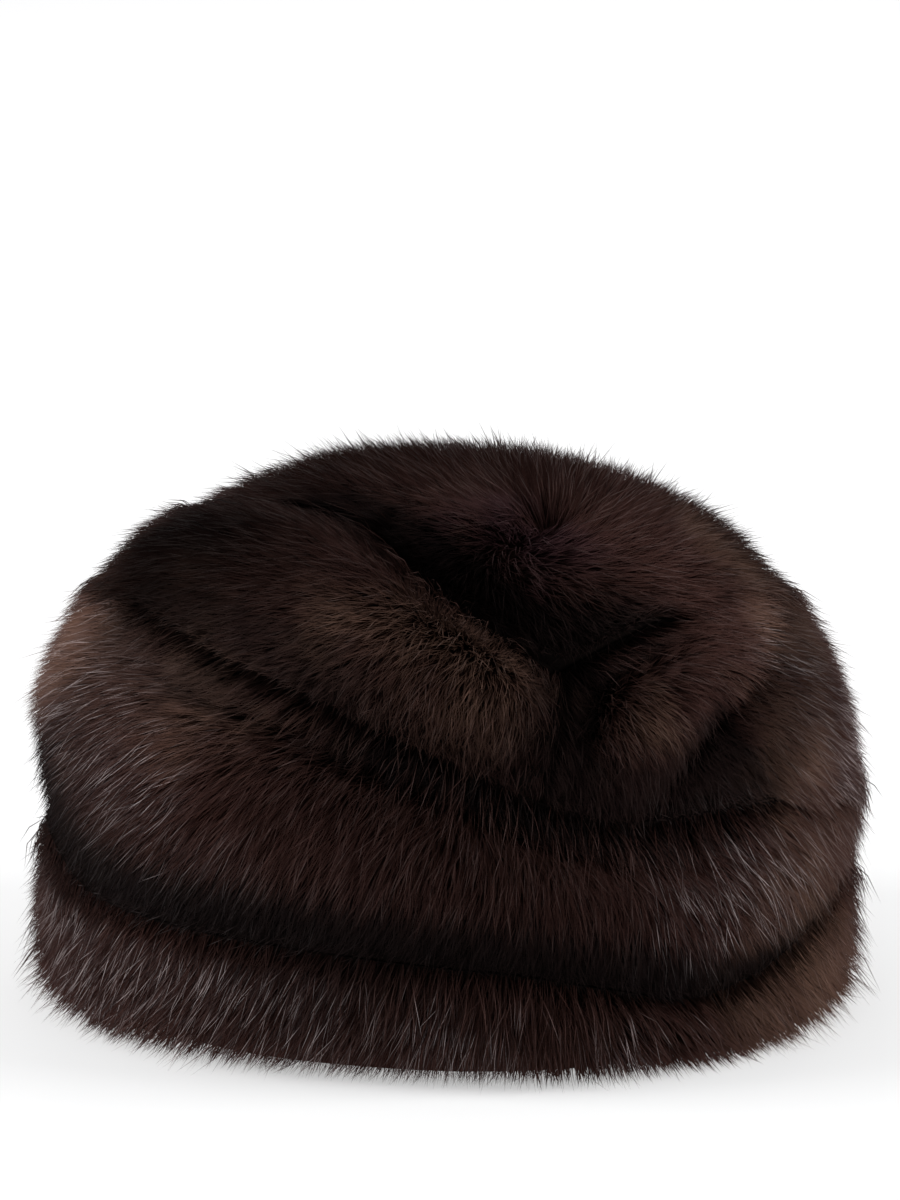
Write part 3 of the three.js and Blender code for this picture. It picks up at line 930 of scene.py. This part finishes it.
# Silvery tips: partly the hairs' own, and partly painted sheen on the sides.
SILVER_AND_SHEEN = [
    ((-0.120, -0.040, 0.092), 0.040),
    ((-0.100, -0.082, 0.086), 0.030),
    ((-0.112, -0.066, 0.035), 0.052),
    ((-0.080, -0.097, 0.034), 0.042),
    ((-0.050, -0.116, 0.022), 0.030),
    ((0.101, -0.084, 0.056), 0.034),
    ((0.076, -0.103, 0.046), 0.026),
    ((0.128, -0.014, 0.078), 0.046),
    ((0.112, -0.040, 0.108), 0.026),
    ((0.001, -0.125, 0.012), 0.024),
    ((0.060, -0.116, 0.012), 0.020),
    ((-0.010, 0.125, 0.060), 0.060),
]
VIOLET = [((0.022, -0.056, 0.155), 0.026)]
DRIFT = 0.060
PATCH_CORE = 0.05
PATCH_EDGE = 1.35


def ragged(dye, place):
    """The place, shifted this way and that by up to a finger's width, so that no patch is round."""
    drift = dye.node("ShaderNodeTexNoise", sockets={"Vector": place, "Scale": 38.0, "Detail": 2.0}, out=1)
    drift = dye.node("ShaderNodeVectorMath", {"operation": "SUBTRACT"}, {0: drift, 1: (0.5, 0.5, 0.5)})
    sockets = {0: drift, 1: (DRIFT, DRIFT, DRIFT), 2: place}
    return dye.node("ShaderNodeVectorMath", {"operation": "MULTIPLY_ADD"}, sockets)


def patches(dye, place, balls):
    """The share of a surface near any of a few places."""
    total = None
    for middle, reach in balls:
        sockets = {0: place, 1: middle}
        away = dye.node("ShaderNodeVectorMath", {"operation": "DISTANCE"}, sockets, out=1)
        near = 1 - away.step(reach * PATCH_CORE, reach * PATCH_EDGE)
        total = near if total is None else total.math("MAXIMUM", near)
    return total


print("patches:", len(GOLD_AND_HIGHLIGHT), "golden,", len(SILVER_AND_SHEEN), "silvery,", len(VIOLET), "violet")

# %% Finish of fur
LIGHTER_BY = dict(rise=0.55, shade=0.16, streak=0.12, cloud=0.22)
LIGHTER_FROM = 0.08
TO_BROWN = (0.05, 0.60)
TO_LIGHT = (0.62, 1.00)
GOLD_AT_ROOT = 0.4
GOLD_SHARE = 0.85
SILVER_EVERYWHERE = 0.08
SILVER_TIPS = (0.35, 0.9)
SILVER_HAIRS = (0.48, 0.76)
VIOLET_SHARE = 0.5
VIOLET_BROWN = (0.045, 0.022, 0.030, 1)
# Painted shade: the colour and share of the folds' painted shade, and the darkest painted shade of broad areas.
PAINTED_FOLD_SHADE_SHARE = 0.97
PAINTED_FOLD_SHADE_COLOUR = (0.0056, 0.0045, 0.0045, 1)
DARKEST_PAINTED_SHADE = (0.0008, 0.0006, 0.0006, 1)


def fur_finish(name, dark, brown, light, gold_and_highlight, silver_and_sheen, sheen, gloss):
    material, shader, dye = finish_named(name)
    place = dye.node("ShaderNodeTexCoord", out=3)
    up = dye.node("ShaderNodeAttribute", {"attribute_name": "up_the_hair"}, out=2)
    shade = dye.node("ShaderNodeAttribute", {"attribute_name": "own_shade"}, out=2)
    cloud = dye.node("ShaderNodeTexNoise", sockets={"Vector": place, "Scale": 26.0, "Detail": 3.0})
    streak = dye.node("ShaderNodeTexNoise", sockets={"Vector": place, "Scale": 140.0, "Detail": 2.0})

    loose_place = ragged(dye, place)
    # The golden patches are partly the fur's own warmer colour and partly painted highlight.
    golden_and_highlit = patches(dye, loose_place, GOLD_AND_HIGHLIGHT) * (cloud.step(0.36, 0.62) * 0.7 + 0.3)
    silvery_and_sheen = patches(dye, loose_place, SILVER_AND_SHEEN)
    violet = patches(dye, loose_place, VIOLET)

    rise = up.step(0.05, 0.95)
    share = rise * LIGHTER_BY["rise"] + shade * LIGHTER_BY["shade"]
    share = share + streak.step(0.35, 0.65) * LIGHTER_BY["streak"] + cloud * LIGHTER_BY["cloud"]
    share = share - LIGHTER_FROM
    body = share.step(*TO_BROWN).blend((*dark, 1), (*brown, 1))
    body = share.step(*TO_LIGHT).blend(body, (*light, 1))
    golden_and_highlit = golden_and_highlit * (rise * (1 - GOLD_AT_ROOT) + GOLD_AT_ROOT) * GOLD_SHARE
    body = golden_and_highlit.blend(body, (*gold_and_highlight, 1))
    # Silvery tips, partly the hairs' own and partly painted sheen.
    silvery_and_sheen = silvery_and_sheen * (1 - SILVER_EVERYWHERE) + SILVER_EVERYWHERE
    silver_tips_and_sheen = silvery_and_sheen * up.step(*SILVER_TIPS) * shade.step(*SILVER_HAIRS)
    body = silver_tips_and_sheen.blend(body, (*silver_and_sheen, 1))
    body = (violet * VIOLET_SHARE).blend(body, VIOLET_BROWN)
    # Painted shade: the fur is painted darker in the folds and in some broad areas.
    darkness = dye.node("ShaderNodeAttribute", {"attribute_name": "darkness"}, out=2)
    body = (darkness * PAINTED_FOLD_SHADE_SHARE).blend(body, PAINTED_FOLD_SHADE_COLOUR)
    tone = dye.node("ShaderNodeAttribute", {"attribute_name": "tone"}, out=2)
    body = tone.blend(DARKEST_PAINTED_SHADE, body)
    feed(body, shader, "Base Color")
    feed(darkness * (1 - sheen) + sheen, shader, "Roughness")
    shader.inputs["Specular IOR Level"].default_value = gloss
    shader.inputs["Specular Tint"].default_value = (1.0, 0.74, 0.66, 1)
    return material


GUARD = fur_finish(
    "guard_hair",
    dark=(0.0130, 0.0060, 0.0048),
    brown=(0.036, 0.0178, 0.0152),
    light=(0.056, 0.030, 0.024),
    gold_and_highlight=(0.112, 0.065, 0.047),
    silver_and_sheen=(0.360, 0.310, 0.310),
    sheen=0.45,
    gloss=0.02,
)
UNDER = fur_finish(
    "underfur",
    dark=(0.0230, 0.0106, 0.0087),
    brown=(0.0295, 0.0138, 0.0114),
    light=(0.039, 0.0190, 0.0150),
    gold_and_highlight=(0.102, 0.058, 0.041),
    silver_and_sheen=(0.066, 0.053, 0.054),
    sheen=0.80,
    gloss=0.0,
)
print("finishes:", GUARD.name, UNDER.name)

# %% [markdown]
# ## The fur of each piece
# The table gives how many hairs each piece gets, in the ratio of its outside, and how long they are. The
# pleat has the shortest fur and the wrap band and the crown the longest. The underfur is short, many times
# denser and thicker in the hair, and the guard hairs run through it and past it.

# %% Plant the whole hat
FUR = {
    "brim_band": dict(guard=8300, under=31000, length=0.0175),
    "wrap_band": dict(guard=11000, under=47000, length=0.0180),
    "left_drape": dict(guard=4200, under=22000, length=0.0175),
    "centre_pleat": dict(guard=1100, under=6000, length=0.0165),
    "right_drape": dict(guard=4200, under=22000, length=0.0170),
    "crown": dict(guard=5400, under=26000, length=0.0180),
}
KINDS = [
    ("_underfur", UNDERFUR, UNDER, "under", 20),
    ("_guard_hair", GUARD_FUR, GUARD, "guard", 40),
]
SHARE = 1.0

for number, (node, row) in enumerate(FUR.items()):
    for ending, kind, finish, column, first_seed in KINDS:
        count = int(row[column] * SHARE)
        piece = plant(node + ending, node, kind, count, row["length"], first_seed + number)
        piece.data.materials.append(finish)
        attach(piece, "root")

# %% [markdown]
# ## The ground and the light
# The hat stands on a plain pale ground that runs out of sight. The room itself gives most of the light,
# evenly from all round. Two broad lamps stand low at the left and the right, so that the sides of the hat
# are lighter than its middle, and a weak one behind catches the tips of the hairs on the outline. The
# camera sees a white room, and the ground glows a little, so the hat stands on white with a soft shadow.

# %% Ground
bpy.ops.object.select_all(action="DESELECT")
bpy.ops.mesh.primitive_plane_add(size=30, location=(0, 0, 0))
ground = bpy.context.object
ground.name = "ground"
bpy.ops.object.transform_apply(location=True, rotation=True, scale=True)
GROUND_PALE = (0.53, 0.53, 0.53, 1)
GLOW = (0.80, 0.80, 0.80, 1)
GLOW_SEEN = (0.46, 0.46, 0.46, 1)
material, shader, dye = finish_named("pale_ground")
shader.inputs["Base Color"].default_value = GROUND_PALE
shader.inputs["Roughness"].default_value = 0.95
shader.inputs["Specular IOR Level"].default_value = 0.1
shader.inputs["Emission Strength"].default_value = 1.0
seen = dye.node("ShaderNodeLightPath", out=0)
feed(seen.blend(GLOW, GLOW_SEEN), shader, "Emission Color")
ground.data.materials.append(material)
print("ground at height", round(ground.location.z, 3))

# %% Lamps
LAMPS = [
    ("left_lamp", (-2.35, -0.15, 0.45), 1.3, 110),
    ("right_lamp", (2.35, -0.25, 0.45), 1.3, 95),
    ("back_lamp", (0.2, 1.9, 1.2), 1.4, 8),
]
LIT_PLACE = np.array([0, 0, 0.08])
for name, where, size, power in LAMPS:
    away = np.array(where) - LIT_PLACE
    pitch = math.atan2(math.hypot(away[0], away[1]), away[2])
    heading = math.atan2(away[0], -away[1])
    bpy.ops.object.light_add(type="AREA", location=where, rotation=(pitch, 0, heading))
    lamp = bpy.context.object
    lamp.name = name
    lamp.data.size = size
    lamp.data.energy = power
    print(name, power, "W")

# %% The room
ROOM_LIGHT = (0.52, 0.52, 0.53, 1)
ROOM_SEEN = (1.0, 1.0, 1.0, 1)
bpy.context.scene.view_settings.view_transform = "Standard"
world = bpy.data.worlds.new("pale_room")
bpy.context.scene.world = world
world.use_nodes = True
backdrop = world.node_tree.nodes["Background"]
backdrop.inputs["Strength"].default_value = 1.0
seen = Dye(world.node_tree).node("ShaderNodeLightPath", out=0)
feed(seen.blend(ROOM_LIGHT, ROOM_SEEN), backdrop, "Color")
print("the room lights the hat with", ROOM_LIGHT[:3], "and looks", ROOM_SEEN[:3])
